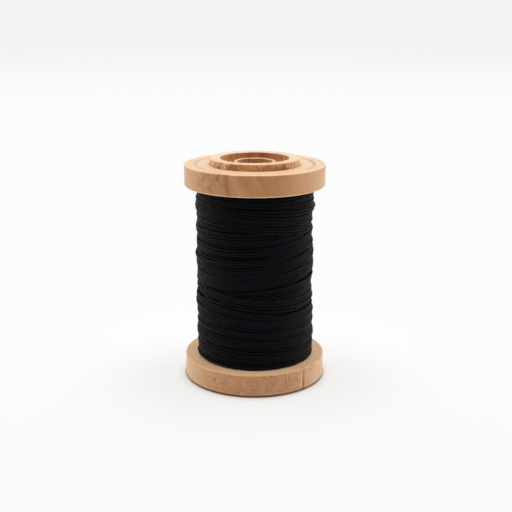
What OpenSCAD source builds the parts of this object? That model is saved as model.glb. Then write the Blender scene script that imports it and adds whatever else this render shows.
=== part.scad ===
// Wooden spool wound with waxed thread.
// The spool stands on its lower flange; the origin is the middle of its underside and +Z is up.
// All sizes are in millimetres.

/* [Flanges] */
// Diameter of the upper flange
top_flange_d = 40; // [38:0.5:60]
// Diameter of the lower flange, a little larger so that the spool stands firmly
bottom_flange_d = 40.7; // [38:0.1:60]
// Thickness of the upper flange at its rim
top_flange_t = 6.1; // [4:0.1:12]
// Thickness of the lower flange
bottom_flange_t = 6.5; // [4:0.1:12]
// Radius that rounds the outer edges of the flanges
flange_edge_r = 0.3; // [0.1:0.05:0.8]
// Diameter of the shallow recess turned in the upper face
recess_d = 33.6; // [30:0.2:36]
// Depth of the shallow recess
recess_depth = 0.2; // [0.1:0.05:1]

/* [Barrel tube] */
// Room between the flanges, which the winding fills
winding_w = 50; // [34:0.5:90]
// Outer diameter of the tube
barrel_d = 25.6; // [22:0.1:27]
// Wall of the tube
barrel_wall = 3.1; // [2:0.1:3.4]
// Height of the collar, the tube's end that stands above the upper flange's rim
collar_h = 1.7; // [0.8:0.1:4]
// Radius that rounds the collar's two edges
collar_edge_r = 0.2; // [0.1:0.05:0.8]

/* [Bushes] */
// Bore for the spindle that the spool turns on
spindle_bore_d = 10.2; // [6:0.1:10.4]
// Diameter of the nose round the bore
nose_d = 11.8; // [11.5:0.1:14]
// Distance from the tube's end to the nose's end
nose_drop = 1; // [0.4:0.1:2]
// Depth of the ring-shaped gutter round the nose, from the tube's end
gutter_depth = 3.2; // [2.6:0.1:5]
// Length of the bush's body, which is glued into the tube
bush_body_t = 6; // [3:0.5:12]
// Radius that rounds the nose's edges
nose_edge_r = 0.3; // [0.1:0.05:0.35]

/* [Thread catch] */
// Width of the saw cut in the lower flange, which holds the thread's end
slit_w = 0.2; // [0.15:0.05:0.8]
// Depth of the saw cut from the rim
slit_depth = 1.4; // [1:0.1:3]
// Direction of the saw cut, from +X towards +Y
slit_angle = -46.5; // [-180:0.5:180]

/* [Thread] */
// Outer diameter of the wound thread
wound_d = 33.5; // [30:0.1:36]
// Diameter of the thread
thread_d = 0.65; // [0.4:0.05:0.9]
// Turns of the outer layer that are modelled
outer_turns = 24; // [8:1:24]
// Room between the outer layer's end turns and the flanges
end_room = 0.6; // [0.3:0.1:2]

/* [Hidden] */
$fn = 96;

// Heights of the flanges' faces and of the tube's upper end
winding_low_z = bottom_flange_t;
winding_high_z = winding_low_z + winding_w;
rim_z = winding_high_z + top_flange_t;
overall_h = rim_z + collar_h;

barrel_bore_d = barrel_d - 2 * barrel_wall;
recess_floor_z = rim_z - recess_depth;

// Cutting tools run past the faces they leave by this much
cut_over = 1;

// Rings of the outer layer's tube on one turn, and its sides
rings_per_turn = 24;
tube_sides = 6;
// Rings on each bend where the thread's ends turn inward
bend_rings = 4;
// Room between the outer layer and the layers under it
wind_clearance = 0.02;
// Room round a thread's end in its pocket
tuck_clearance = 0.1;

// The outer layer's centre line
helix_r = wound_d / 2 - thread_d / 2;
helix_low_z = winding_low_z + end_room + thread_d / 2;
helix_high_z = winding_high_z - end_room - thread_d / 2;
pitch = (helix_high_z - helix_low_z) / outer_turns;
helix_slope = atan(pitch / (2 * PI * helix_r));
// Both ends lie at the back of the spool
start_angle = 90;

// A straight piece between two rings passes this far inside the round centre line
chord_sag = helix_r * (1 - cos(180 / rings_per_turn));
pack_r = helix_r - thread_d / 2 - chord_sag - wind_clearance;

// Each end bends inward at this radius and runs straight for one diameter
tuck_bend_r = 0.8 * thread_d;
tuck_floor_r = helix_r - tuck_bend_r - thread_d;

// Arc in a profile: centre, radius, first and last angle
function arc(centre, r, first, last, steps = 5) =
    [for (i = [0 : steps])
        let (a = first + (last - first) * i / steps)
        centre + r * [cos(a), sin(a)]];

// Direction pointing straight out from the axis, and direction along the thread, at an angle
function outward(a) = [cos(a), sin(a), 0];
function along(a) = [-sin(a) * cos(helix_slope), cos(a) * cos(helix_slope), sin(helix_slope)];
function helix_point(a) =
    helix_r * outward(a) + [0, 0, helix_low_z + pitch * (a - start_angle) / 360];

// A station is [point, outer side, width side]: the centre and the two directions of a ring
function helix_station(a) = [helix_point(a), outward(a), cross(along(a), outward(a))];

// Station on the bend at one end. bend is 0 where it joins the helix and 90 where the thread
// points at the axis; side is -1 at the first end and 1 at the last; drop is how far further
// in it has run.
function tuck_station(a, side, bend, drop) =
    let (out = cos(bend) * outward(a) + sin(bend) * side * along(a))
    [helix_point(a) - tuck_bend_r * outward(a) + tuck_bend_r * out - drop * outward(a),
     out,
     cross(along(a), outward(a))];

last_angle = start_angle + 360 * outer_turns;
helix_stations =
    [for (i = [0 : rings_per_turn * outer_turns])
        helix_station(start_angle + 360 * i / rings_per_turn)];
stations = concat(
    [tuck_station(start_angle, -1, 90, thread_d)],
    [for (i = [bend_rings : -1 : 1]) tuck_station(start_angle, -1, 90 * i / bend_rings, 0)],
    helix_stations,
    [for (i = [1 : bend_rings]) tuck_station(last_angle, 1, 90 * i / bend_rings, 0)],
    [tuck_station(last_angle, 1, 90, thread_d)]);

// Least gap from one turn to the next, over each ring and the rings beside its neighbour
least_thread_gap = min(
    [for (i = [0 : rings_per_turn * (outer_turns - 1) - 1])
        for (j = [rings_per_turn - 1 : rings_per_turn + 1])
            norm(helix_stations[i][0] - helix_stations[i + j][0])]) - thread_d;
echo(least_thread_gap = least_thread_gap);

// Tube round a list of stations, closed at both ends, with triangle faces
module tube(path, diameter) {
    count = len(path);
    points =
        [for (s = path)
            for (k = [0 : tube_sides - 1])
                let (a = 360 * k / tube_sides)
                s[0] + diameter / 2 * (cos(a) * s[1] + sin(a) * s[2])];
    walls =
        [for (i = [0 : count - 2])
            for (k = [0 : tube_sides - 1])
                let (here = i * tube_sides, next = here + tube_sides, l = (k + 1) % tube_sides)
                for (face = [[here + k, next + k, here + l], [here + l, next + k, next + l]])
                    face];
    last = (count - 1) * tube_sides;
    caps =
        [for (k = [1 : tube_sides - 2])
            for (face = [[0, k, k + 1], [last, last + k + 1, last + k]])
                face];
    polyhedron(points, concat(walls, caps), convexity = 10);
}

// Disc with rounded outer edges and the hole that the tube is glued into
module flange_blank(diameter, thickness) {
    edge_at = diameter / 2 - flange_edge_r;
    rotate_extrude()
        polygon(concat(
            [[barrel_d / 2, 0]],
            arc([edge_at, flange_edge_r], flange_edge_r, -90, 0),
            arc([edge_at, thickness - flange_edge_r], flange_edge_r, 0, 90),
            [[barrel_d / 2, thickness]]));
}

// Stepped bush, drawn below the tube's end at z = 0 with its nose upward
module bush() {
    body_high_z = -gutter_depth;
    body_low_z = body_high_z - bush_body_t;
    bore_r = spindle_bore_d / 2;
    nose_r = nose_d / 2;
    edge_z = -nose_drop - nose_edge_r;
    rotate_extrude()
        polygon(concat(
            [[bore_r, body_low_z],
             [barrel_bore_d / 2, body_low_z],
             [barrel_bore_d / 2, body_high_z],
             [nose_r, body_high_z]],
            arc([nose_r - nose_edge_r, edge_z], nose_edge_r, 0, 90),
            arc([bore_r + nose_edge_r, edge_z], nose_edge_r, 90, 180)));
}

// Pocket in the inner layers that takes one end of the thread
module tuck_pocket(a, side) {
    middle = helix_point(a) + side * tuck_bend_r * along(a);
    rotate([0, 0, a])
        translate([tuck_floor_r, side * tuck_bend_r * cos(helix_slope), middle[2]])
            rotate([0, 90, 0])
                cylinder(d = thread_d + 2 * tuck_clearance, h = helix_r - tuck_floor_r);
}

// Lower flange, with the saw cut through its rim
module bottom_flange() {
    color("#d9b18a")
        difference() {
            flange_blank(bottom_flange_d, bottom_flange_t);
            rotate([0, 0, slit_angle])
                translate([bottom_flange_d / 2 - slit_depth, -slit_w / 2, -cut_over])
                    cube([slit_depth + cut_over, slit_w, bottom_flange_t + 2 * cut_over]);
        }
}

// Tube that carries both flanges; its lower end is flush and its upper end is the collar
module barrel_tube() {
    outer_r = barrel_d / 2;
    bore_r = barrel_bore_d / 2;
    edge_z = overall_h - collar_edge_r;
    color("#c08d5f")
        rotate_extrude()
            polygon(concat(
                [[bore_r, 0], [outer_r, 0]],
                arc([outer_r - collar_edge_r, edge_z], collar_edge_r, 0, 90),
                arc([bore_r + collar_edge_r, edge_z], collar_edge_r, 90, 180)));
}

// Upper flange, with its shallow recess
module top_flange() {
    color("#e3bd97")
        translate([0, 0, winding_high_z])
            difference() {
                flange_blank(top_flange_d, top_flange_t);
                translate([0, 0, recess_floor_z - winding_high_z])
                    cylinder(d = recess_d, h = recess_depth + cut_over);
            }
}

// Bush in the tube's lower end, nose downward
module bottom_bush() {
    color("#cda078")
        mirror([0, 0, 1])
            bush();
}

// Bush in the tube's upper end, nose upward
module top_bush() {
    color("#cda078")
        translate([0, 0, overall_h])
            bush();
}

// Inner layers of thread, as one solid round the tube
module thread_pack() {
    color("#101014")
        translate([0, 0, winding_low_z])
            difference() {
                cylinder(r = pack_r, h = winding_w);
                translate([0, 0, -cut_over])
                    cylinder(d = barrel_d, h = winding_w + 2 * cut_over);
                translate([0, 0, -winding_low_z]) {
                    tuck_pocket(start_angle, -1);
                    tuck_pocket(last_angle, 1);
                }
            }
}

// Outer layer of thread: one unbroken tube whose ends are tucked into the layers below
module thread_turns() {
    color("#1d1e24")
        tube(stations, thread_d);
}

bottom_flange();
barrel_tube();
top_flange();
bottom_bush();
top_bush();
thread_pack();
thread_turns();
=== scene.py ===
"""Dresses a wooden spool wound with black waxed thread, and gives it a floor, light and a camera.

Shapes are worked out in millimetres and become metres when their mesh is made. The spool stands on
the origin with its axis on +Z. A direction round the axis is in degrees from the front, which is -Y,
towards +X.
"""
import math

import bpy
import numpy as np
from mathutils import Euler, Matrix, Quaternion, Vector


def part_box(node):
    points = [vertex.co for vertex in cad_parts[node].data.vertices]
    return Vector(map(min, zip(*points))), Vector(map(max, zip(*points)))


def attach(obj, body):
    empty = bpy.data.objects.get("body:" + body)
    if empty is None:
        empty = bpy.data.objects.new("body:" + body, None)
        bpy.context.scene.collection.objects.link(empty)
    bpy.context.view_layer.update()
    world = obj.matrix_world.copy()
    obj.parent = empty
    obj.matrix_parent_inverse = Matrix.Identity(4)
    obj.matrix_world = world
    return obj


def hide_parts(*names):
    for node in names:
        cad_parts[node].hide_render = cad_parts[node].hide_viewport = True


MM = 0.001
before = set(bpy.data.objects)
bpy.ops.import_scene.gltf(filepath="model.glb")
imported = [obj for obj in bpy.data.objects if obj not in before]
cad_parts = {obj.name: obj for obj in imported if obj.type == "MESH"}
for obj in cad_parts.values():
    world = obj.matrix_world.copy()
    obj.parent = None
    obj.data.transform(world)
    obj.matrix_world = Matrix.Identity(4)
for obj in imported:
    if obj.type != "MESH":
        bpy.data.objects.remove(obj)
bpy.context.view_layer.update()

# ---------------------------------------------------------------- sizes, in millimetres


def box_of(node):
    """Radius, lowest height and highest height of a round CAD node, in millimetres."""
    low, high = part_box(node)
    return high.x / MM, low.z / MM, high.z / MM


FLANGE_R, RIM_LOW, RIM_HIGH = box_of("top_flange")
FOOT_R, FOOT_LOW, FOOT_HIGH = box_of("bottom_flange")
BARREL_R, BARREL_LOW, BARREL_HIGH = box_of("barrel_tube")
TUBE_BORE_R, _, BUSH_HIGH = box_of("top_bush")
WOUND_R = box_of("thread_turns")[0]
# The shallow recess in the upper flange, which the collar stands in
RECESS_R = 16.8
RECESS_DEPTH = 0.2
RECESS_FLOOR = RIM_HIGH - RECESS_DEPTH
# The bush's nose, its bore, and the gutter round it
NOSE_R = 5.9
SPINDLE_R = 5.1
NOSE_DROP = BARREL_HIGH - BUSH_HIGH
GUTTER_DEPTH = 3.2
# The saw cut in the lower flange, at a direction in degrees. It has all but closed again.
SLIT_AT = 43.5
SLIT_WIDTH = 0.09
SLIT_DEPTH = 1.4
SLIT_HALF_DEG = math.degrees(SLIT_WIDTH / 2 / FOOT_R)
# A wound thread is pressed oval
THREAD_WIDTH = 0.70
THREAD_HEIGHT = 0.50
# The white that the camera and reflections see all round
SURROUNDINGS = "#f2f2f2"

# ---------------------------------------------------------------- camera


def make_camera():
    """The camera stands before the spool, a little above it, and looks down at it. Its two angles are
    in radians."""
    lens_mm = 63.05
    place_mm = (0.39, -251.08, 104.28)
    look_down = 0.2677
    roll = 0.0022
    data = bpy.data.cameras.new("camera")
    data.lens = lens_mm
    data.clip_start = 0.01
    camera = bpy.data.objects.new("camera", data)
    camera.location = [value * MM for value in place_mm]
    level = Euler((math.pi / 2 - look_down, 0, 0)).to_quaternion()
    camera.rotation_euler = (level @ Quaternion((0, 0, 1), roll)).to_euler()
    bpy.context.scene.collection.objects.link(camera)
    bpy.context.scene.camera = camera


make_camera()

# ---------------------------------------------------------------- meshes


def grid_quads(rows, columns, wrap_rows, wrap_columns):
    """Corner numbers of the quads between neighbours on a grid of rows and columns of points."""
    row = np.arange(rows if wrap_rows else rows - 1)[:, None]
    column = np.arange(columns if wrap_columns else columns - 1)[None, :]
    next_row = (row + 1) % rows
    next_column = (column + 1) % columns
    corners = [row * columns + column, next_row * columns + column,
               next_row * columns + next_column, row * columns + next_column]
    return np.stack(corners, axis=-1).reshape(-1, 4)


def unit(vectors):
    """The vectors, each brought to length 1."""
    return vectors / np.linalg.norm(vectors, axis=-1, keepdims=True)


def new_piece(name, points, faces, material, nodes=()):
    """A piece of the spool, from points in millimetres. It stands for the CAD nodes given."""
    mesh = bpy.data.meshes.new(name)
    mesh.from_pydata((points.reshape(-1, 3) * MM).tolist(), [], faces)
    mesh.shade_smooth()
    mesh.materials.append(material)
    piece = bpy.data.objects.new(name, mesh)
    bpy.context.scene.collection.objects.link(piece)
    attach(piece, "root")
    if nodes:
        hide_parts(*nodes)
    return piece


def give_attribute(piece, name, values):
    """Stores one number a point on a piece, for its material to read."""
    layer = piece.data.attributes.new(name, "FLOAT", "POINT")
    layer.data.foreach_set("value", np.ascontiguousarray(values, dtype=np.float32).ravel())


# ---------------------------------------------------------------- materials


def colour(hex_value):
    """Linear colour of an sRGB hex value such as #e4a470."""
    channels = [int(hex_value[i:i + 2], 16) / 255 for i in (1, 3, 5)]
    linear = [c / 12.92 if c <= 0.04045 else ((c + 0.055) / 1.055) ** 2.4 for c in channels]
    return (*linear, 1.0)


def node(tree, kind, links=None, **settings):
    """Adds a node with its settings. links gives each named or numbered input a value or the
    output of another node."""
    made = tree.nodes.new(kind)
    for key, value in settings.items():
        setattr(made, key, value)
    for key, value in (links or {}).items():
        if isinstance(value, bpy.types.NodeSocket):
            tree.links.new(value, made.inputs[key])
        else:
            made.inputs[key].default_value = value
    return made


# Numbers of the Mix node's sockets for colours
MIX_FROM = 6
MIX_TO = 7
MIXED = 2


def new_material(name):
    """An empty node material, and its tree with an output."""
    material = bpy.data.materials.new(name)
    material.use_nodes = True
    tree = material.node_tree
    tree.nodes.clear()
    return material, tree, node(tree, "ShaderNodeOutputMaterial")


# Blender's Wave texture repeats every pi / 10 units at scale 1
WAVE_UNIT = math.pi / 10
# How pale wood is: 0 is its body, this much is a rubbed edge, whose tint the painted highlights share, and 1
# is bleached end grain
RUBBED_AND_HIGHLIGHT = 0.75


def turned_beech(name, body, late, rubbed_and_highlight_tint, end_tint, stain_and_shade_tint, pith_mm, tilt_deg):
    """Beech, turned on a lathe, sanded and left bare. The eye gets a dull, warm skin with broad, faint
    growth bands, a fine mottle and short dark ray flecks, and paler end grain and rubbed edges. Two
    attributes on the mesh steer it: one says where the wood is stained and where shade is painted on
    it, the other where it is rubbed or end grain and where highlights are painted on it."""
    ring_mm = 3.6
    cloud_mm = 6.0
    # Beech's pores are far finer, and are drawn as coarse as they need to be to show
    grain_mm = 0.5
    fleck_mm = 0.6
    grain_deep_mm = 0.1
    grain_stretch = 0.3
    ring_strength = 0.30
    material, tree, output = new_material(name)
    place = node(tree, "ShaderNodeTexCoord").outputs["Object"]
    along = node(tree, "ShaderNodeMapping", {"Vector": place, "Scale": (1, 1, grain_stretch)}).outputs[0]
    pith = node(tree, "ShaderNodeMapping", {
        "Vector": place,
        "Location": [value * MM for value in pith_mm],
        "Rotation": [math.radians(value) for value in tilt_deg],
    }).outputs[0]
    rings = node(tree, "ShaderNodeTexWave", {
        "Vector": pith, "Scale": WAVE_UNIT / (ring_mm * MM), "Distortion": 3.0, "Detail": 2.0,
        "Detail Scale": 0.5, "Detail Roughness": 0.55,
    }, wave_type="RINGS", rings_direction="Z").outputs["Fac"]
    grain = node(tree, "ShaderNodeTexNoise", {
        "Vector": along, "Scale": 1 / (grain_mm * MM), "Detail": 2.0, "Roughness": 0.6,
    }).outputs["Fac"]
    clouds = node(tree, "ShaderNodeTexNoise", {
        "Vector": place, "Scale": 1 / (cloud_mm * MM), "Detail": 3.0, "Roughness": 0.6,
    }).outputs["Fac"]
    cells = node(tree, "ShaderNodeTexVoronoi", {
        "Vector": along, "Scale": 1 / (fleck_mm * MM), "Randomness": 1.0,
    }).outputs["Distance"]
    # Painted shade reaches the wood through the stain attribute, and painted highlights through the pale one
    stain_and_shade = node(tree, "ShaderNodeAttribute", attribute_name="stain_and_shade").outputs["Fac"]
    pale = node(tree, "ShaderNodeAttribute", attribute_name="pale").outputs["Fac"]
    # The rubbed tint also colours the painted highlights on the walls
    rubbed = node(tree, "ShaderNodeMapRange", {"Value": pale, "From Max": RUBBED_AND_HIGHLIGHT}).outputs[0]
    bleached = node(tree, "ShaderNodeMapRange", {"Value": pale, "From Min": RUBBED_AND_HIGHLIGHT}).outputs[0]

    ring_share = node(tree, "ShaderNodeMath", {0: rings, 1: ring_strength}, operation="MULTIPLY").outputs[0]
    cloud_share = node(tree, "ShaderNodeMapRange", {
        "Value": clouds, "From Min": 0.35, "From Max": 0.65, "To Max": 0.38,
    }).outputs[0]
    grain_share = node(tree, "ShaderNodeMapRange", {
        "Value": grain, "From Min": 0.35, "From Max": 0.7, "To Max": 0.30,
    }).outputs[0]
    fleck_share = node(tree, "ShaderNodeMapRange", {
        "Value": cells, "From Min": 0.08, "From Max": 0.22, "To Min": 0.22, "To Max": 0.0,
    }).outputs[0]

    shade = colour(body)
    layers = [(ring_share, late), (cloud_share, late), (grain_share, late), (rubbed, rubbed_and_highlight_tint),
              (bleached, end_tint), (fleck_share, "#8f5a38"), (stain_and_shade, stain_and_shade_tint)]
    for share, tint in layers:
        shade = node(tree, "ShaderNodeMix", {0: share, MIX_FROM: shade, MIX_TO: colour(tint)},
                     data_type="RGBA").outputs[MIXED]
    relief = node(tree, "ShaderNodeMath", {0: grain, 1: fleck_share}, operation="SUBTRACT").outputs[0]
    bump = node(tree, "ShaderNodeBump", {"Height": relief, "Strength": 0.3, "Distance": grain_deep_mm * MM})
    shader = node(tree, "ShaderNodeBsdfPrincipled", {
        "Base Color": shade, "Roughness": 0.45, "IOR": 1.45, "Sheen Weight": 0.75,
        "Sheen Roughness": 0.45, "Sheen Tint": (1.0, 0.86, 0.62, 1.0), "Normal": bump.outputs[0],
    })
    tree.links.new(shader.outputs[0], output.inputs[0])
    return material


def waxed_cord():
    """Black polyester cord, laid from three plies and drawn through wax. The eye gets a deep black
    with a thin satin shine on the crowns of the turns, dulled where the wax is thick."""
    plies_deep_mm = 0.07
    wax_mm = 0.9
    material, tree, output = new_material("waxed_cord")
    lay = node(tree, "ShaderNodeSeparateXYZ", {0: node(tree, "ShaderNodeUVMap").outputs[0]})
    turn = node(tree, "ShaderNodeMath", {0: lay.outputs[0], 1: math.tau}, operation="MULTIPLY").outputs[0]
    plies = node(tree, "ShaderNodeMath", {0: turn}, operation="SINE").outputs[0]
    place = node(tree, "ShaderNodeTexCoord").outputs["Object"]
    wax = node(tree, "ShaderNodeTexNoise", {
        "Vector": place, "Scale": 1 / (wax_mm * MM), "Detail": 3.0, "Roughness": 0.65,
    }).outputs["Fac"]
    ply_share = node(tree, "ShaderNodeMapRange", {"Value": plies, "From Min": -1.0}).outputs[0]
    shade = node(tree, "ShaderNodeMix", {
        0: ply_share, MIX_FROM: colour("#050507"), MIX_TO: colour("#0d0e12"),
    }, data_type="RGBA").outputs[MIXED]
    dull = node(tree, "ShaderNodeMapRange", {
        "Value": wax, "From Min": 0.3, "From Max": 0.7, "To Min": 0.42, "To Max": 0.7,
    }).outputs[0]
    height = node(tree, "ShaderNodeMath", {0: wax, 1: 0.5, 2: plies}, operation="MULTIPLY_ADD").outputs[0]
    bump = node(tree, "ShaderNodeBump", {"Height": height, "Strength": 0.4, "Distance": plies_deep_mm * MM})
    shader = node(tree, "ShaderNodeBsdfPrincipled", {
        "Base Color": shade, "Roughness": dull, "Specular IOR Level": 0.07,
        "Specular Tint": (0.82, 0.9, 1.0, 1.0), "Normal": bump.outputs[0],
    })
    tree.links.new(shader.outputs[0], output.inputs[0])
    return material


def loose_fibre():
    """Single filaments that stand off the cord, too thin to shine. The eye gets a faint grey haze."""
    material, tree, output = new_material("loose_fibre")
    shader = node(tree, "ShaderNodeBsdfPrincipled", {
        "Base Color": colour("#26282c"), "Roughness": 0.8, "Specular IOR Level": 0.2,
    })
    tree.links.new(shader.outputs[0], output.inputs[0])
    return material


# ---------------------------------------------------------------- turned wood


# Points on the arc of a rounded corner
ARC_POINTS = 6


def rounded_outline(corners):
    """Closed outline in the plane of radius and height. A corner is (radius, height, rounding,
    spacing): straight runs join the corners, each corner is an arc of its rounding's radius, and the
    run that leaves it has points at its spacing. The outline runs with the wood on its left."""
    table = np.array(corners, float)
    places = table[:, :2]
    roundings = table[:, 2]
    spacings = table[:, 3]
    arcs = []
    for here, before, after, rounding in zip(
            places, np.roll(places, 1, axis=0), np.roll(places, -1, axis=0), roundings):
        arrive = unit(here - before)
        leave = unit(after - here)
        side = np.array([-arrive[1], arrive[0]])
        side *= np.sign(side @ leave)
        bend = math.acos(np.clip(arrive @ leave, -1, 1))
        centre = here - arrive * rounding * math.tan(bend / 2) + side * rounding
        steps = np.linspace(0, bend, ARC_POINTS if rounding else 1)[:, None]
        arcs.append(centre + rounding * (arrive * np.sin(steps) - side * np.cos(steps)))
    runs = []
    for arc, next_arc, spacing in zip(arcs, arcs[1:] + arcs[:1], spacings):
        start = arc[-1]
        end = next_arc[0]
        pieces = max(1, round(np.linalg.norm(end - start) / spacing))
        share = np.linspace(0, 1, pieces, endpoint=False)[1:, None]
        runs += [arc, start + (end - start) * share]
    return np.concatenate(runs)


def outward_sides(outline):
    """Unit vector that points out of the wood at each point of a closed outline."""
    run = unit(np.roll(outline, -1, axis=0) - np.roll(outline, 1, axis=0))
    return np.stack([run[:, 1], -run[:, 0]], axis=1)


def fade(value, low, high):
    """0 below low, 1 above high and a smooth step 3 t t - 2 t t t between."""
    share = np.clip((value - low) / (high - low), 0, 1)
    return share * share * (3 - 2 * share)


def bell(value, middle, half_width):
    """1 at the middle, and falling off to both sides as exp(-(distance / half width) squared)."""
    return np.exp(-((value - middle) / half_width) ** 2)


def mottle(around, along, cell_deg, cell_mm, seed):
    """Smooth random values from 0 to 1: random numbers on a lattice that closes round the piece, with
    a fade from one lattice point to the next."""
    columns = round(360 / cell_deg)
    u = around % 360 / 360 * columns
    v = along / cell_mm
    v = v - v.min()
    table = np.random.default_rng(seed).random((columns, int(v.max()) + 2))
    column = np.floor(u).astype(int)
    row = np.floor(v).astype(int)
    u = fade(u, column, column + 1)
    v = fade(v, row, row + 1)
    after = (column + 1) % columns
    column = column % columns
    low = table[column, row] * (1 - u) + table[after, row] * u
    high = table[column, row + 1] * (1 - u) + table[after, row + 1] * u
    return low * (1 - v) + high * v


def stroke(around, height, radius, start, end, width):
    """A soft line on a round wall, from one (direction, height) to another: 1 on the line, and
    falling off as a bell with its distance from the line."""
    scale = math.radians(1) * radius
    x, y = around * scale, height
    x0, y0 = start[0] * scale, start[1]
    dx, dy = end[0] * scale - x0, end[1] - y0
    share = np.clip(((x - x0) * dx + (y - y0) * dy) / (dx * dx + dy * dy), 0, 1)
    distance = np.hypot(x - x0 - share * dx, y - y0 - share * dy)
    return bell(distance, 0, width)


def turned_piece(name, corners, directions, surface, material, nodes):
    """A ring of wood: the outline turned round the axis. surface(around, radius, height, along,
    faces_up) gives for each point how deep it lies under the turned skin, in millimetres, how stained
    it is, with painted shade counted in, how pale it is, with painted highlights counted in, and its
    radius. along is the length along the outline, and faces_up is 1 on a level face, whether it looks
    up or down, and 0 on an upright wall."""
    outline = rounded_outline(corners)
    sides = outward_sides(outline)
    steps = np.linalg.norm(np.diff(outline, axis=0), axis=1)
    along = np.concatenate([[0], np.cumsum(steps)])
    around = directions[:, None] + 0 * along
    radius = outline[:, 0] + 0 * around
    height = outline[:, 1] + 0 * around
    faces_up = np.abs(sides[:, 1]) + 0 * around
    deep, stain_and_shade, pale, radius = surface(around, radius, height, along + 0 * around, faces_up)
    radius = radius - deep * sides[:, 0]
    height = height - deep * sides[:, 1]
    angle = np.radians(around)
    points = np.stack([radius * np.sin(angle), -radius * np.cos(angle), height], axis=-1)
    faces = grid_quads(*around.shape, True, True).tolist()
    piece = new_piece(name, points, faces, material, nodes)
    give_attribute(piece, "stain_and_shade", np.clip(stain_and_shade, 0, 1))
    give_attribute(piece, "pale", np.clip(pale, 0, 1))
    return piece


# Directions of a turned piece's columns of points
EVEN_DIRECTIONS = np.linspace(-180, 180, 512, endpoint=False)


def worn(around, along, faces_up, seed):
    """Depth of everyday unevenness: long soft waves, and edges rubbed a little lower."""
    soft = 0.03 * mottle(around, along, 24, 5, seed)
    return soft + 0.05 * bell(faces_up, 0.7, 0.3) * mottle(around, along, 4, 2, seed + 1)


def strokes(around, height, radius, lines):
    """Soft lines on a round wall, the strongest where they meet. A line is (start, end, width,
    strength), with its start and end as (direction, height)."""
    shade = 0 * around
    for start, end, width, strength in lines:
        shade = np.maximum(shade, strength * stroke(around, height, radius, start, end, width))
    return shade


def front_share(around):
    """1 at the front and 0 from the sides to the back, where the wood is paler and less marked."""
    return 1 - fade(np.abs(around), 40, 90)


def rim_wall(radius, rim):
    """1 at a flange's rim and 0 from 1.2 mm inside it."""
    return fade(radius, rim - 1.2, rim - 0.4)


def on_flat(faces_up):
    """1 on the flat faces and 0 on the walls, with a smooth step over the rounded edges."""
    return fade(faces_up, 0.4, 0.9)


def far_figure(around, height, slant, cell_deg, cell_mm, seed):
    """Broad, faint figure of the grain, which leans by slant degrees in a millimetre. The front has
    its own marks and none of it."""
    figure = mottle(around + slant * height, height, cell_deg, cell_mm, seed)
    return fade(figure, 0.45, 0.95) * (1 - front_share(around))


def top_flange_surface(around, radius, height, along, faces_up):
    """Upper flange: a soft mineral streak from edge to edge with a cloudy patch beside it, small marks
    near the edges, a faint leaning figure away from the front, and end grain that is palest on the
    floor of the recess. A mark's place is (direction, millimetres below the upper edge)."""
    deep = worn(around, along, faces_up, 11)
    wall = rim_wall(radius, FLANGE_R)
    top = on_flat(faces_up)
    thick = RIM_HIGH - RIM_LOW
    below = RIM_HIGH - height
    marks = [
        ((-21.8, 0), (-22.4, 2.6), 0.85, 0.36), ((-22.4, 2.6), (-21.2, 4.2), 0.6, 0.5),
        ((-21.2, 4.2), (-19.8, thick), 0.6, 0.36), ((-28.1, 0), (-29.6, 1.5), 0.55, 0.42),
        ((-28.1, 2.0), (-28.0, 2.4), 0.6, 0.20), ((-44.8, 2.3), (-43.8, 1.8), 0.35, 0.5),
        ((-43.8, 1.8), (-41.4, 0.9), 0.28, 0.26), ((-41.4, 0.9), (-36, 0.6), 0.25, 0.22),
        ((-50.5, 3.5), (-50.0, 4.3), 0.3, 0.26), ((-46, 4.2), (-44.0, 5.0), 0.35, 0.18),
        ((-39, 4.0), (-36.5, 4.6), 0.4, 0.20), ((-34, 3.4), (-32, 3.0), 0.4, 0.16),
        ((-8, 1.0), (-2.0, thick - 0.6), 1.0, 0.12), ((2.6, 0.4), (5.6, 1.3), 0.5, 0.20),
        ((5.6, 1.3), (9.5, thick - 1.5), 0.7, 0.10), ((27, 3.0), (28, 3.6), 0.5, 0.12),
        ((20, 0.5), (26, 0.7), 0.4, 0.12),
    ]
    lights = [((-17, 0.8), (-11, thick - 0.8), 1.1, 0.12), ((-1.5, 0.6), (3.6, 3.2), 0.45, 0.09)]
    stain_and_shade = strokes(around, below, FLANGE_R, marks) * wall
    stain_and_shade = stain_and_shade + 0.15 * far_figure(around, height - RIM_LOW, 2.5, 8, 6, 16) * wall
    cloudy = bell(around, -38, 13) * wall
    stain_and_shade = stain_and_shade + cloudy * (0.03 + 0.18 * mottle(around, height, 3.2, 1.3, 13))
    stain_and_shade = stain_and_shade + cloudy * 0.20 * fade(mottle(around, height, 1.9, 0.8, 15), 0.35, 0.8)
    # Painted shade in the step round the recess
    step = bell(radius, RECESS_R, 0.4) * (1 - fade(below, 0.6, 1))
    stain_and_shade = stain_and_shade + 0.42 * step * (0.4 + mottle(around, along, 12, 4, 12))
    recess = 1 - fade(radius, RECESS_R - 0.9, RECESS_R - 0.3)
    # Painted shade on the recess floor round the foot of the collar
    collar_foot_shade = bell(radius, BARREL_R, 0.35) * recess * top
    stain_and_shade = stain_and_shade + 0.45 * collar_foot_shade * fade(mottle(around, 0 * height, 7, 1, 14), 0.3, 0.8)
    # Painted highlight: a pale line along the wall's lower edge
    lower_edge_highlight = 0.28 * bell(height, RIM_LOW, 0.35)
    # Painted highlight: the wall paler towards its sides, most near 50 and -44 degrees
    sides = 0.05 * fade(np.abs(around), 30, 70) + 0.20 * bell(around, 50, 28) + 0.17 * bell(around, -44, 24)
    pale = top * (0.84 + 0.14 * recess - 0.17 * front_share(around) * (1 + 0.3 * recess))
    pale = pale + wall * (lower_edge_highlight + sides + strokes(around, below, FLANGE_R, lights))
    return deep, stain_and_shade, pale, radius


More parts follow.
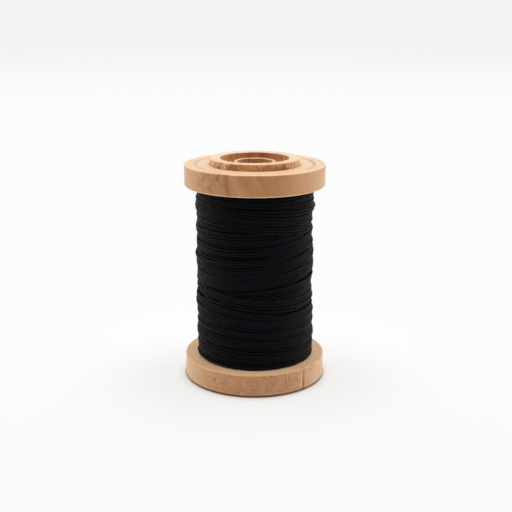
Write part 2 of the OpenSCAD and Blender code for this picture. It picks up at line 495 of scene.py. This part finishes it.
def bottom_flange_surface(around, radius, height, along, faces_up):
    """Lower flange: the saw cut with its dark line and two pale lines beside it, hair cracks, small
    holes, fine pores, a faint leaning figure away from the front, painted shadow along its lower edge
    with a painted highlight just above it, and a painted highlight towards each side. A mark's place
    is (direction, millimetres below the upper edge)."""
    deep = worn(around, along, faces_up, 21)
    wall = rim_wall(radius, FOOT_R)
    flat = on_flat(faces_up)
    calm = 0.4 + 0.6 * front_share(around)
    thick = FOOT_HIGH - FOOT_LOW
    below = FOOT_HIGH - height
    cracks = ((27.5, 0.12), (31, 0.12), (34.5, 0.18), (37.0, 0.32), (39.6, 0.4), (41.2, 0.12))
    dark_line = [((SLIT_AT - 0.6, 0.4), (SLIT_AT - 0.6, thick - 0.5), 0.28, 1.0)]
    pale_lines = [
        ((SLIT_AT - 2.4, 0.2), (SLIT_AT - 2.4, thick - 1.2), 0.24, 0.5),
        ((SLIT_AT - 5.0, 0.2), (SLIT_AT - 5.0, thick - 3.8), 0.26, 0.34),
    ]
    holes = (
        (7.7, 0.45, 0.5), (13.2, 0.35, 0.5), (50.3, 0.9, 0.4), (54.0, 0.35, 0.7), (-33.0, 2.4, 0.5),
        (-31.5, 4.9, 0.4), (-24.5, 3.0, 0.2), (19.5, thick - 1.2, 0.2), (-47.0, 1.1, 0.25),
        (33.0, thick - 1.0, 0.35), (11.0, thick - 2.4, 0.2), (-12.0, thick - 1.4, 0.2),
    )
    stain_and_shade = 0 * around
    for direction, strength in cracks:
        line = stroke(around, below, FOOT_R, (direction, 0.2), (direction, thick - 2.6), 0.13)
        stain_and_shade = stain_and_shade + strength * line * wall
    slit_shade = 0.40 + 0.55 * fade(below, 1.5, 4.5)
    stain_and_shade = stain_and_shade + slit_shade * strokes(around, below, FOOT_R, dark_line) * wall
    for direction, at, strength in holes:
        hole = stroke(around, below, FOOT_R, (direction, at), (direction + 0.4, at), 0.3)
        deep = deep + 0.3 * strength * hole * wall
        stain_and_shade = stain_and_shade + strength * hole * wall
    stain_and_shade = stain_and_shade + 0.12 * far_figure(around, height - FOOT_LOW, -1.5, 11, 7, 26) * wall
    pores = 0.8 * mottle(around, height, 1.1, 0.34, 22) + 0.2 * mottle(around, height, 3, 1.0, 23)
    pits = fade(pores, 0.5, 0.85) * wall * calm
    deep = deep + 0.02 * pits
    lined = fade(mottle(around, height, 0.9, 2.2, 25), 0.5, 0.9) * bell(around, 28, 14) * wall
    # Painted shadow where the flange stands on the floor: the wall darkest at its lowest half millimetre
    foot_contact_shadow = np.exp(-((height - FOOT_LOW) / 0.58) ** 4) * wall
    stain_and_shade = stain_and_shade + 0.17 * pits + 0.26 * lined + foot_contact_shadow
    light = 0.14 * fade(mottle(around, height, 1.5, 0.5, 24), 0.5, 0.9) * calm
    # Painted highlight: a pale band just above the painted shadow at the foot, beside the pale lines by the
    # saw cut
    light = light + 0.2 * bell(height, FOOT_LOW + 0.85, 0.2) + strokes(around, below, FOOT_R, pale_lines)
    # Painted highlight: the wall paler towards its sides, most near 60 degrees
    sides = 0.20 * fade(np.abs(around), 20, 65) + 0.07 * bell(around, 60, 26)
    pale = 0.56 * flat + (1 - flat) * wall * (0.15 + light + sides)
    inside = np.abs(around - SLIT_AT) < SLIT_HALF_DEG
    radius = np.where(inside, np.minimum(radius, FOOT_R - SLIT_DEPTH), radius)
    return np.where(inside, 0, deep), np.where(inside, 0.1, stain_and_shade), pale, radius


def barrel_surface(around, radius, height, along, faces_up):
    """Tube: the collar's outer wall has torn grain, in slanting pale fibres and teeth on one side and
    reddish pits on the other. Its inner edge is chipped and its inner wall is streaked. A mark's
    place is (direction, millimetres above the recess's floor)."""
    above = height - RECESS_FLOOR
    collar = fade(above, -0.5, 0)
    flat = on_flat(faces_up)
    outer = fade(radius, BARREL_R - 1.0, BARREL_R - 0.3) * collar * (1 - flat)
    inner = (1 - fade(radius, TUBE_BORE_R + 0.3, TUBE_BORE_R + 1.0)) * collar
    left = bell(around, -50, 18)
    right = bell(around, 37, 13)
    rough = 0.45 + 0.55 * (1 - fade(np.abs(around), 60, 110))
    torn = 0.5 * mottle(around, height, 2.2, 0.7, 31) + 0.5 * mottle(around, height, 1.2, 0.4, 32)
    pits = fade(torn, 0.42, 0.68) * (0.55 + 0.45 * right) * (1 - 0.7 * left) * rough
    fibres = fade(mottle(around - 4 * above, height, 1.5, 3.0, 36), 0.35, 0.65) * left
    bare = (1 - fibres) * left
    lights = fade(mottle(around, height, 2.2, 0.8, 44), 0.45, 0.8) * rough
    wide = fade(mottle(around, height, 9, 1.6, 38), 0.35, 0.8) * (1 - fade(np.abs(around), 55, 75))
    rim = bell(height, BARREL_HIGH, 0.45)
    jagged = fade(mottle(around, 0 * height, 2.6, 1, 40), 0.45, 0.8) * (0.2 + 0.8 * left) * rim
    chips = fade(mottle(around, 0 * height, 3.5, 1, 34), 0.5, 0.9) * (0.3 + 0.7 * left)
    deep = worn(around, along, faces_up, 33) + outer * (0.10 * pits + 0.05 * bare + 0.12 * jagged)
    deep = deep + inner * fade(faces_up, 0.3, 0.8) * 0.14 * chips
    pale_teeth = [
        ((-37.5, 1.8), (-40.0, 0.6), 0.26, 1.0), ((-33.0, 1.8), (-35.0, 1.0), 0.24, 0.9),
        ((-47.0, 1.8), (-46.0, 1.3), 0.25, 0.4), ((-53.0, 1.6), (-52.0, 0.6), 0.2, 0.3),
        ((34.0, 1.6), (43.0, 0.5), 0.18, 0.28),
    ]
    dark_marks = [
        ((-50.5, 0.25), (-48.0, 0.12), 0.28, 0.85), ((-36.0, 1.1), (-32.0, 0.3), 0.5, 0.62),
        ((-31.0, 1.1), (-24.0, 0.5), 0.9, 0.42), ((27.0, 0.9), (33.0, 0.6), 0.35, 0.42),
        ((35.5, 0.7), (40.0, 0.5), 0.3, 0.55), ((36.0, 1.2), (38.0, 1.1), 0.25, 0.35),
        ((14.0, 0.8), (20.0, 0.8), 0.9, 0.22), ((57.5, 1.2), (58.5, 0.9), 0.3, 0.45),
        ((24.0, 0.1), (42.0, 0.1), 0.25, 0.40),
    ]
    stain_and_shade = 0.42 * pits + 0.24 * bare + 0.26 * right + 0.08 * wide
    stain_and_shade = outer * (stain_and_shade + strokes(around, above, BARREL_R, dark_marks))
    streaks = 0.6 * fade(mottle(around, 0 * height, 7, 1.0, 35), 0.3, 0.8)
    streaks = streaks + 0.4 * mottle(around, height, 2.5, 2.4, 39)
    stain_and_shade = stain_and_shade + inner * (0.36 + 0.45 * streaks) * (1 - faces_up)
    # Painted highlight: the collar's wall paler towards its sides, most near 60 degrees
    sides = 0.14 * fade(np.abs(around), 44, 66) + 0.12 * bell(around, 60, 20)
    teeth = strokes(around, above, BARREL_R, pale_teeth)
    pale = 0.06 + 0.50 * fibres + 0.22 * lights * (1 - 0.8 * left) + teeth + sides
    pale = outer * pale + 0.28 * inner * (1 - faces_up)
    top = flat * (1.0 - 0.24 * front_share(around) - 0.08 * mottle(around, along, 6, 1.5, 37))
    return deep, stain_and_shade, pale + top, radius


def bush_surface(around, radius, height, along, faces_up):
    """Bush: even, with a pale rubbed end and a few dark spots in its bore."""
    deep = worn(around, along, faces_up, 41)
    bore = 1 - fade(radius, SPINDLE_R + 0.1, SPINDLE_R + 0.5)
    spots = fade(mottle(around, height, 6, 0.6, 43), 0.5, 0.9)
    pale = 0.75 * fade(faces_up, 0.3, 0.8) + 0.25 * bore * (1 - spots)
    return deep, 0.32 * bore * spots, pale, radius


def make_wood():
    """All five turned pieces, each with its own cut of wood. Worn edges are rounder than new ones."""
    flange_wood = turned_beech(
        "turned_beech_flange", body="#ce8f59", late="#b47440", rubbed_and_highlight_tint="#fccd9f", end_tint="#fae0c0",
        stain_and_shade_tint="#6a3612", pith_mm=(24, 9, 0), tilt_deg=(10, -32, 0))
    barrel_wood = turned_beech(
        "turned_beech_barrel", body="#d79b69", late="#b87c4a", rubbed_and_highlight_tint="#fccd9f", end_tint="#fae2c4",
        stain_and_shade_tint="#6b3516", pith_mm=(-15, 20, 0), tilt_deg=(3, 24, 0))
    bush_wood = turned_beech(
        "turned_beech_bush", body="#dc9a62", late="#b87c46", rubbed_and_highlight_tint="#fcc890", end_tint="#fccc9a",
        stain_and_shade_tint="#74431f", pith_mm=(10, -12, 0), tilt_deg=(0, 3, 0))

    glued = 0.02
    flange_edge = 0.3
    rubbed_edge = 0.6
    foot_edge = 0.35
    collar_edge = 0.32
    nose_edge = 0.3
    bush_edge = 0.1
    turned_piece("turned_top_flange", [
        (BARREL_R, RIM_LOW, glued, 1.2), (FLANGE_R, RIM_LOW, rubbed_edge, 0.22),
        (FLANGE_R, RIM_HIGH, flange_edge, 0.22), (RECESS_R + 0.2, RIM_HIGH, 0.2, 0.1),
        (RECESS_R - 0.2, RECESS_FLOOR, 0.3, 0.22), (BARREL_R, RECESS_FLOOR, glued, 1.2),
    ], EVEN_DIRECTIONS, top_flange_surface, flange_wood, ["top_flange"])

    # Points just outside and just inside each wall of the cut, and in its middle
    cut = SLIT_AT + SLIT_HALF_DEG * np.array([-1.02, -0.98, 0, 0.98, 1.02])
    clear = EVEN_DIRECTIONS[np.abs(EVEN_DIRECTIONS - SLIT_AT) > SLIT_HALF_DEG * 1.4]
    turned_piece("turned_bottom_flange", [
        (BARREL_R, FOOT_LOW, glued, 1.2), (FOOT_R, FOOT_LOW, foot_edge, 0.2),
        (FOOT_R, FOOT_HIGH, flange_edge, 0.25), (BARREL_R, FOOT_HIGH, glued, 1.2),
    ], np.sort(np.concatenate([clear, cut])), bottom_flange_surface, flange_wood,
        ["bottom_flange"])

    turned_piece("turned_barrel", [
        (TUBE_BORE_R, BARREL_LOW, collar_edge, 0.5), (BARREL_R, BARREL_LOW, glued, 2.0),
        (BARREL_R, RIM_LOW, 0.0, 1.0), (BARREL_R, RECESS_FLOOR, 0.0, 0.13),
        (BARREL_R, BARREL_HIGH, collar_edge, 0.15), (TUBE_BORE_R, BARREL_HIGH, collar_edge, 0.2),
        (TUBE_BORE_R, BARREL_HIGH - GUTTER_DEPTH, 0.0, 2.0),
    ], EVEN_DIRECTIONS, barrel_surface, barrel_wood, ["barrel_tube"])

    for name, end, up in (("top_bush", BARREL_HIGH, 1), ("bottom_bush", BARREL_LOW, -1)):
        low, high = box_of(name)[1:]
        body_low = low if up > 0 else high
        body_high = end - up * GUTTER_DEPTH
        nose_at = end - up * NOSE_DROP
        corners = [
            (SPINDLE_R, body_low, bush_edge, 1.0), (TUBE_BORE_R, body_low, bush_edge, 1.0),
            (TUBE_BORE_R, body_high, bush_edge, 0.4), (NOSE_R, body_high, bush_edge, 0.3),
            (NOSE_R, nose_at, nose_edge, 0.2), (SPINDLE_R, nose_at, nose_edge, 0.3),
        ]
        turned_piece("turned_" + name, corners[::up], EVEN_DIRECTIONS[::2], bush_surface, bush_wood,
                     [name])


make_wood()

# ---------------------------------------------------------------- winding

STEPS_PER_TURN = 240
# Spacing of the wound surface's heights
CELL = 0.05
CORD_SIDES = 8
# The cord has a ring of points at every second step
RINGS_KEPT = 2
TURNS_A_PIECE = 69
# The cord's plies, and the length in which each goes once round it
PLIES = 3
LAY = 3.6
# Least distance from the middle of a turn to a flange
WALL_GAP = THREAD_WIDTH / 2 + 0.02
# Soft turns that lie side by side press into each other, down to this width
PRESSED_WIDTH = 0.60
CORE_R = WOUND_R - 2 * THREAD_HEIGHT + 0.15
# The winding is full this many threads above the core. A turn that crosses over it stands proud of
# it by this share of its height.
FULL_LAYERS = 1.5
STANDS_PROUD = 0.55

# The winder's hand, band by band: (turns, height of the first and of the last turn's middle, tilt of
# the first and of the last turn, direction of the tilt's high side). Three bands climb to the upper
# flange, and the rest come down again over them. Turns start at the back, where the thread crosses
# from one band to the next within a fifth of a turn.
BANDS = (
    (24, 6.8, 22.3, 0.0, 0.6, 200),
    (24, 22.9, 39.0, 1.0, 1.8, 110),
    (25, 39.7, 56.0, 0.6, 0.0, 110),
    (5, 56.0, 52.9, 0.0, 0.2, 270),
    (9, 52.3, 46.3, 0.9, 2.1, 270),
    (11, 43.3, 36.1, 2.4, 3.0, 138),
    (6, 35.2, 31.5, 2.4, 1.6, 120),
    (5, 28.5, 25.2, 1.9, 2.0, 230),
    (16, 24.0, 13.2, 1.8, -0.5, 250),
    (7, 11.8, 6.8, 0.9, 0.0, 270),
)
CROSSING = 0.2

# Swells and dips of the inner layers: (height, half its width, rise on the left, rise on the right)
SWELLS = (
    (55.2, 1.9, -0.55, -0.35), (51.6, 1.2, 0.10, 0.50), (48.4, 1.3, -0.35, -0.35),
    (45.2, 2.5, 0.45, -0.62), (40.6, 1.7, -0.25, -0.45), (37.2, 1.3, 0.36, 0.10),
    (33.4, 1.4, -0.20, 0.10), (29.4, 2.2, -0.45, 0.20), (26.6, 1.6, -0.30, -0.20),
    (18.4, 2.2, -0.38, 0.0), (12.8, 1.8, 0.0, 0.32), (10.5, 2.6, -0.25, 0.15),
    (7.5, 1.2, -0.20, 0.10),
)
# Inner turns lie in shallow ridges, this far apart and this much up and down
RIDGE_STEP = 3.4
RIDGE_RISE = 0.13


def hand_path():
    """Direction and height of the thread at each step: z = middle + tilt cos(direction - high side)
    + the hand's own unsteadiness, which is a sum of slow cosines along the thread. On the way down a
    turn lies at least one pressed width below the one before it in its band."""
    turns, first, last, first_tilt, last_tilt, high_side = np.array(BANDS, float).T
    ends = np.cumsum(turns)
    at = np.stack([ends - turns, ends - CROSSING], axis=1) + CROSSING / 2
    middle = np.stack([first, last], axis=1)
    tilt = np.stack([first_tilt, last_tilt], axis=1)
    high_side = np.radians(high_side)[:, None]
    turn = np.arange(int(ends[-1]) * STEPS_PER_TURN) / STEPS_PER_TURN
    direction = math.tau * turn + math.pi
    height = np.interp(turn, at.ravel(), middle.ravel())
    height += np.interp(turn, at.ravel(), (tilt * np.cos(high_side)).ravel()) * np.cos(direction)
    height += np.interp(turn, at.ravel(), (tilt * np.sin(high_side)).ravel()) * np.sin(direction)
    random = np.random.default_rng(5)
    waves = 24
    wave_height = 0.03
    pace = random.uniform(0.15, 1.6, waves)
    start = random.uniform(0, math.tau, waves)
    shake = np.cos(np.outer(turn, pace * math.tau) + start) @ random.uniform(0.2, 1.0, waves)
    rows = (height + wave_height * shake).reshape(-1, STEPS_PER_TURN)
    summit = np.argmax(first)
    for row in range(int(ends[summit - 1]) + 1, len(rows)):
        if row not in ends:
            rows[row] = np.minimum(rows[row], rows[row - 1] - PRESSED_WIDTH)
    return direction, np.clip(rows.ravel(), FOOT_HIGH + WALL_GAP, RIM_LOW - WALL_GAP)


def core_radius(direction, height):
    """Radius of the inner layers: a drum with a bell at each of the SWELLS, which changes round the
    drum as left + (right - left) (1 + sin(direction)) / 2, and with ridges that follow
    cos(height + 0.8 cos(direction) + 0.6 cos(height / 3))."""
    radius = CORE_R
    for middle, half_width, left, right in SWELLS:
        rise = left + (right - left) * (1 + np.sin(direction)) / 2
        radius = radius + rise * bell(height, middle, half_width)
    phase = math.tau * height / RIDGE_STEP
    return radius + RIDGE_RISE * np.cos(phase + 0.8 * np.cos(direction) + 0.6 * np.cos(phase / 3))


def pull_tight(support):
    """Radius of a taut turn over its support. Two points of radius a and b that lie an angle t either
    side of a third hold it up to 2 a b cos(t) / (a + b), the straight line between them. The angles
    go from wide to narrow twice, so that a turn bridges wide hollows first and ends smooth."""
    radius = support
    for span in (10, 8, 6, 4, 3, 2, 1, 5, 3, 2, 1):
        before, after = np.roll(radius, span), np.roll(radius, -span)
        chord = 2 * before * after * math.cos(math.tau * span / STEPS_PER_TURN) / (before + after)
        radius = np.maximum(radius, chord)
    return radius


def wind(height):
    """Lays the thread turn by turn on what is already wound, and returns its radius at each step.
    The wound surface is a grid of radii over direction and height. A turn rests where its rounded
    underside first touches that surface, and then raises it by its own rounded back. A turn that
    crosses over the full layer is pressed into it."""
    low = FOOT_HIGH
    cells = round((RIM_LOW - low) / CELL) + 1
    around = math.pi + np.arange(STEPS_PER_TURN)[:, None] * math.tau / STEPS_PER_TURN
    surface = core_radius(around, low + np.arange(cells) * CELL)
    full = surface + FULL_LAYERS * THREAD_HEIGHT
    reach = int(PRESSED_WIDTH / 2 / CELL)
    across = np.arange(-reach, reach + 1)
    hump = THREAD_HEIGHT / 2 * np.sqrt(1 - (across * CELL / (PRESSED_WIDTH / 2)) ** 2)
    rows = np.arange(STEPS_PER_TURN)[:, None]
    radii = []
    for turn in height.reshape(-1, STEPS_PER_TURN):
        columns = np.clip(np.round((turn - low) / CELL).astype(int)[:, None] + across, 0, cells - 1)
        support = (surface[rows, columns] + hump).max(axis=1)
        full_here = full[rows[:, 0], columns[:, reach]]
        support = np.where(support > full_here, full_here + STANDS_PROUD * (support - full_here), support)
        radius = pull_tight(support)
        surface[rows, columns] = np.maximum(surface[rows, columns], radius[:, None] + hump)
        radii.append(radius)
    return np.concatenate(radii)


def smooth(values, reach):
    """Running mean over a few steps each way; the ends are held."""
    padded = np.pad(values, reach, mode="edge")
    return np.convolve(padded, np.ones(2 * reach + 1) / (2 * reach + 1), mode="valid")


def cord_mesh(path, width, height, sides):
    """Points and faces of an oval tube along a path round the axis. Each ring is path + height / 2
    cos(a) out + width / 2 sin(a) across, where out is square to the path and away from the axis."""
    run = unit(np.gradient(path, axis=0))
    out = path * (1, 1, 0)
    out = unit(out - (out * run).sum(-1, keepdims=True) * run)
    across = np.cross(out, run)
    angle = np.arange(sides) * math.tau / sides
    points = (path[:, None] + height / 2 * np.cos(angle)[:, None] * out[:, None]
              + width / 2 * np.sin(angle)[:, None] * across[:, None])
    quads = grid_quads(len(path), sides, False, True)
    last = (len(path) - 1) * sides
    caps = [list(range(sides))[::-1], list(range(last, last + sides))]
    return points, quads, caps


def lay_on_cord(piece, rings, sides, start_mm, step_mm):
    """UV map of a cord: x counts plies past each point, y is the length along the cord. x grows by
    PLIES round the cord and by 1 in each LAY / PLIES along it, so each ply winds round the cord."""
    ring, side = np.meshgrid(np.arange(rings - 1), np.arange(sides), indexing="ij")
    rings_at = np.stack([ring, ring + 1, ring + 1, ring], axis=-1).reshape(-1)
    sides_at = np.stack([side, side, side + 1, side + 1], axis=-1).reshape(-1)
    length = start_mm + rings_at * step_mm
    layer = np.zeros((len(piece.data.loops), 2), np.float32)
    layer[:len(length), 0] = sides_at / sides * PLIES + length / LAY * PLIES
    layer[:len(length), 1] = length
    piece.data.uv_layers.new(name="lay").data.foreach_set("uv", layer.ravel())


def make_winding(cord):
    """The thread, in pieces of equal length cut at the back. Its last end is tucked in, by
    tuck_mm in the last tuck_turn of a turn. Returns its direction, height and radius at each step."""
    tuck_mm = 1.2
    tuck_turn = 0.12
    direction, height = hand_path()
    radius = smooth(wind(height), reach=3)
    to_end = np.arange(len(radius))[::-1] / STEPS_PER_TURN
    radius = radius - tuck_mm * (1 - fade(to_end, 0.0, tuck_turn))
    path = np.stack([radius * np.sin(direction), -radius * np.cos(direction), height], axis=-1)
    path = path[::RINGS_KEPT]
    rings_per_turn = STEPS_PER_TURN // RINGS_KEPT
    step_mm = math.tau * CORE_R / rings_per_turn
    piece_rings = TURNS_A_PIECE * rings_per_turn
    for number, start in enumerate(range(0, len(path) - 1, piece_rings)):
        part = path[start:start + piece_rings + 1]
        points, quads, caps = cord_mesh(part, THREAD_WIDTH, THREAD_HEIGHT, CORD_SIDES)
        nodes = ["thread_turns"] if number == 0 else []
        piece = new_piece(f"winding_{number + 1}", points, quads.tolist() + caps, cord, nodes)
        lay_on_cord(piece, len(part), CORD_SIDES, start * step_mm, step_mm)
    return direction, height, radius


def make_core(cord):
    """The layers under the last two: a drum whose wall dips once for each turn under its swells."""
    turns_deep = 0.12
    columns = 72
    outline = rounded_outline([(BARREL_R, FOOT_HIGH, 0, 8.0), (CORE_R, FOOT_HIGH, 0, THREAD_WIDTH / 4),
                               (CORE_R, RIM_LOW, 0, 8.0), (BARREL_R, RIM_LOW, 0, 8.0)])
    angle = np.linspace(0, math.tau, columns, endpoint=False)[:, None]
    radius = outline[:, 0] + 0 * angle
    height = outline[:, 1] + 0 * angle
    wave = 0.5 + 0.5 * np.cos(math.tau * height / THREAD_WIDTH + angle)
    wall = core_radius(angle, height) - turns_deep * wave
    on_wall = radius > CORE_R - 0.01
    radius = np.where(on_wall, wall, radius)
    points = np.stack([radius * np.sin(angle), -radius * np.cos(angle), height], axis=-1)
    faces = grid_quads(*radius.shape, True, True).tolist()
    new_piece("winding_core", points, faces, cord, ["thread_pack"])


def make_fibres(direction, height, radius):
    """Fine filaments that have worked loose: each leaves the winding's surface at a random place and
    curls away from it, p(t) = root + length (lean t + curl t t), thinning to its tip."""
    count = 1500
    rings = 6
    sides = 3
    thick_mm = 0.016
    random = np.random.default_rng(9)
    root = random.integers(len(direction) * 2 // 3, len(direction), count)
    turn = direction[root]
    out = np.stack([np.sin(turn), -np.cos(turn), 0 * turn], axis=-1)
    along = np.stack([np.cos(turn), np.sin(turn), 0 * turn], axis=-1)
    up = np.array([0, 0, 1.0])
    start = out * (radius[root] + THREAD_HEIGHT * 0.4)[:, None] + up * height[root][:, None]
    along = along * random.choice([-1, 1], count)[:, None]
    lean = along + out * random.uniform(0.05, 0.9, (count, 1))
    lean = unit(lean + up * random.normal(0, 0.5, (count, 1)))
    curl = out * random.uniform(-0.5, 0.4, (count, 1))
    curl = curl + up * random.normal(0, 0.5, (count, 1)) - along * 0.3
    length = random.gamma(2.0, 0.32, (count, 1)) + 0.2
    t = np.linspace(0, 1, rings)[:, None, None]
    path = start + length * (lean * t + curl * t * t)
    thick = thick_mm * (1.1 - t)
    angle = np.arange(sides)[:, None, None, None] * math.tau / sides
    side_a = unit(np.cross(lean, up + 0.01))
    side_b = np.cross(lean, side_a)
    points = path + thick * (np.cos(angle) * side_a + np.sin(angle) * side_b)
    points = points.transpose(2, 1, 0, 3)
    one = grid_quads(rings, sides, False, True)
    first = np.arange(count) * rings * sides
    quads = (one + first[:, None, None]).reshape(-1, 4)
    tips = first + (rings - 1) * sides
    caps = np.stack([first + 2, first + 1, first], axis=-1).tolist()
    caps += np.stack([tips, tips + 1, tips + 2], axis=-1).tolist()
    new_piece("loose_fibres", points, quads.tolist() + caps, loose_fibre())


black_cord = waxed_cord()
winding_path = make_winding(black_cord)
make_core(black_cord)
make_fibres(*winding_path)

# ---------------------------------------------------------------- floor, light and surroundings


def make_floor():
    """Matt white floor. Its paint is darker in front of the spool than at its back, as painted shadow,
    and brown in a thin ring of painted shadow where the spool stands on it. Away from the spool it
    fades, as the camera and reflections see it, into an even white, and far off into the white of the
    surroundings. Its distances are in metres."""
    rim = FOOT_R * MM
    material, tree, output = new_material("white_floor")
    place = node(tree, "ShaderNodeTexCoord").outputs["Object"]
    away = node(tree, "ShaderNodeVectorMath", {0: place}, operation="LENGTH").outputs["Value"]
    depth = node(tree, "ShaderNodeSeparateXYZ", {0: place}).outputs["Y"]
    # Painted shadow: the floor's paint, and the white that the camera sees near the spool, are darker in
    # front of the spool than at its back
    out_of_front_shadow = node(tree, "ShaderNodeMapRange", {
        "Value": depth, "From Min": -0.045, "From Max": 0.01,
    }).outputs[0]
    shade = node(tree, "ShaderNodeMix", {
        0: out_of_front_shadow, MIX_FROM: colour("#ebeae8"), MIX_TO: colour("#f6f6f5"),
    }, data_type="RGBA").outputs[MIXED]
    # Painted shadow: a thin brown ring on the floor round the foot of the lower flange
    floor_contact_shadow = node(tree, "ShaderNodeMapRange", {
        "Value": away, "From Min": rim + 0.05 * MM, "From Max": rim + 0.65 * MM, "To Min": 0.5, "To Max": 0.0,
    }).outputs[0]
    shade = node(tree, "ShaderNodeMix", {
        0: floor_contact_shadow, MIX_FROM: shade, MIX_TO: colour("#7d6248"),
    }, data_type="RGBA").outputs[MIXED]
    paint = node(tree, "ShaderNodeBsdfDiffuse", {"Color": shade})

    near = node(tree, "ShaderNodeMix", {
        0: out_of_front_shadow, MIX_FROM: colour("#fafafa"), MIX_TO: colour("#fcfcfc"),
    }, data_type="RGBA").outputs[MIXED]
    distant = node(tree, "ShaderNodeMapRange", {
        "Value": away, "From Min": 0.3, "From Max": 2.8,
    }, interpolation_type="SMOOTHSTEP").outputs[0]
    tint = node(tree, "ShaderNodeMix", {
        0: distant, MIX_FROM: near, MIX_TO: colour(SURROUNDINGS),
    }, data_type="RGBA").outputs[MIXED]
    white = node(tree, "ShaderNodeEmission", {"Color": tint, "Strength": 1.0})

    beyond = node(tree, "ShaderNodeMapRange", {
        "Value": away, "From Min": rim + 0.15 * MM, "From Max": rim + 3.15 * MM,
    }).outputs[0]
    far = node(tree, "ShaderNodeMapRange", {
        "Value": away, "From Min": rim + 1.65 * MM, "From Max": 0.075, "To Min": 0.58,
    }, interpolation_type="SMOOTHSTEP").outputs[0]
    far = node(tree, "ShaderNodeMath", {0: far, 1: beyond}, operation="MULTIPLY").outputs[0]
    rays = node(tree, "ShaderNodeLightPath").outputs
    seen = node(tree, "ShaderNodeMath", {0: rays["Is Camera Ray"], 1: rays["Is Glossy Ray"]},
                operation="MAXIMUM").outputs[0]
    share = node(tree, "ShaderNodeMath", {0: far, 1: seen}, operation="MULTIPLY").outputs[0]
    mixed = node(tree, "ShaderNodeMixShader", {0: share, 1: paint.outputs[0], 2: white.outputs[0]})
    tree.links.new(mixed.outputs[0], output.inputs[0])

    half = 60.0
    corners = [(-half, -half, 0), (half, -half, 0), (half, half, 0), (-half, half, 0)]
    mesh = bpy.data.meshes.new("floor")
    mesh.from_pydata(corners, [], [(0, 1, 2, 3)])
    mesh.materials.append(material)
    floor = bpy.data.objects.new("floor", mesh)
    bpy.context.scene.collection.objects.link(floor)


def make_world():
    """Dim, even light from all round. The camera and reflections see it white."""
    ambient = 0.05
    world = bpy.data.worlds.new("studio")
    bpy.context.scene.world = world
    world.use_nodes = True
    tree = world.node_tree
    tree.nodes.clear()
    path = node(tree, "ShaderNodeLightPath")
    seen = path.outputs["Is Camera Ray"]
    for ray in ("Is Glossy Ray", "Is Transmission Ray"):
        seen = node(tree, "ShaderNodeMath", {0: seen, 1: path.outputs[ray]}, operation="MAXIMUM").outputs[0]
    dim = node(tree, "ShaderNodeBackground", {"Color": (1, 1, 1, 1), "Strength": ambient})
    white = node(tree, "ShaderNodeBackground", {"Color": colour(SURROUNDINGS), "Strength": 1.0})
    mixed = node(tree, "ShaderNodeMixShader", {0: seen, 1: dim.outputs[0], 2: white.outputs[0]})
    node(tree, "ShaderNodeOutputWorld", {0: mixed.outputs[0]})


def make_lamp(name, strength, width_deg, direction, height_deg):
    """A broad soft light that shines on the spool from a direction and a height above the floor."""
    data = bpy.data.lights.new(name, "SUN")
    data.energy = strength
    data.angle = math.radians(width_deg)
    lamp = bpy.data.objects.new(name, data)
    lamp.rotation_euler = (math.radians(90 - height_deg), 0, math.radians(direction))
    bpy.context.scene.collection.objects.link(lamp)


def make_light():
    """A broad light overhead and one at each side of the spool leave the middle of its front darkest."""
    make_lamp("overhead", strength=2.28, width_deg=60, direction=180, height_deg=86)
    make_lamp("side_left", strength=1.1, width_deg=70, direction=-98, height_deg=30)
    make_lamp("side_right", strength=1.24, width_deg=70, direction=98, height_deg=30)


make_floor()
make_world()
make_light()

bpy.context.scene.view_settings.view_transform = "Standard"
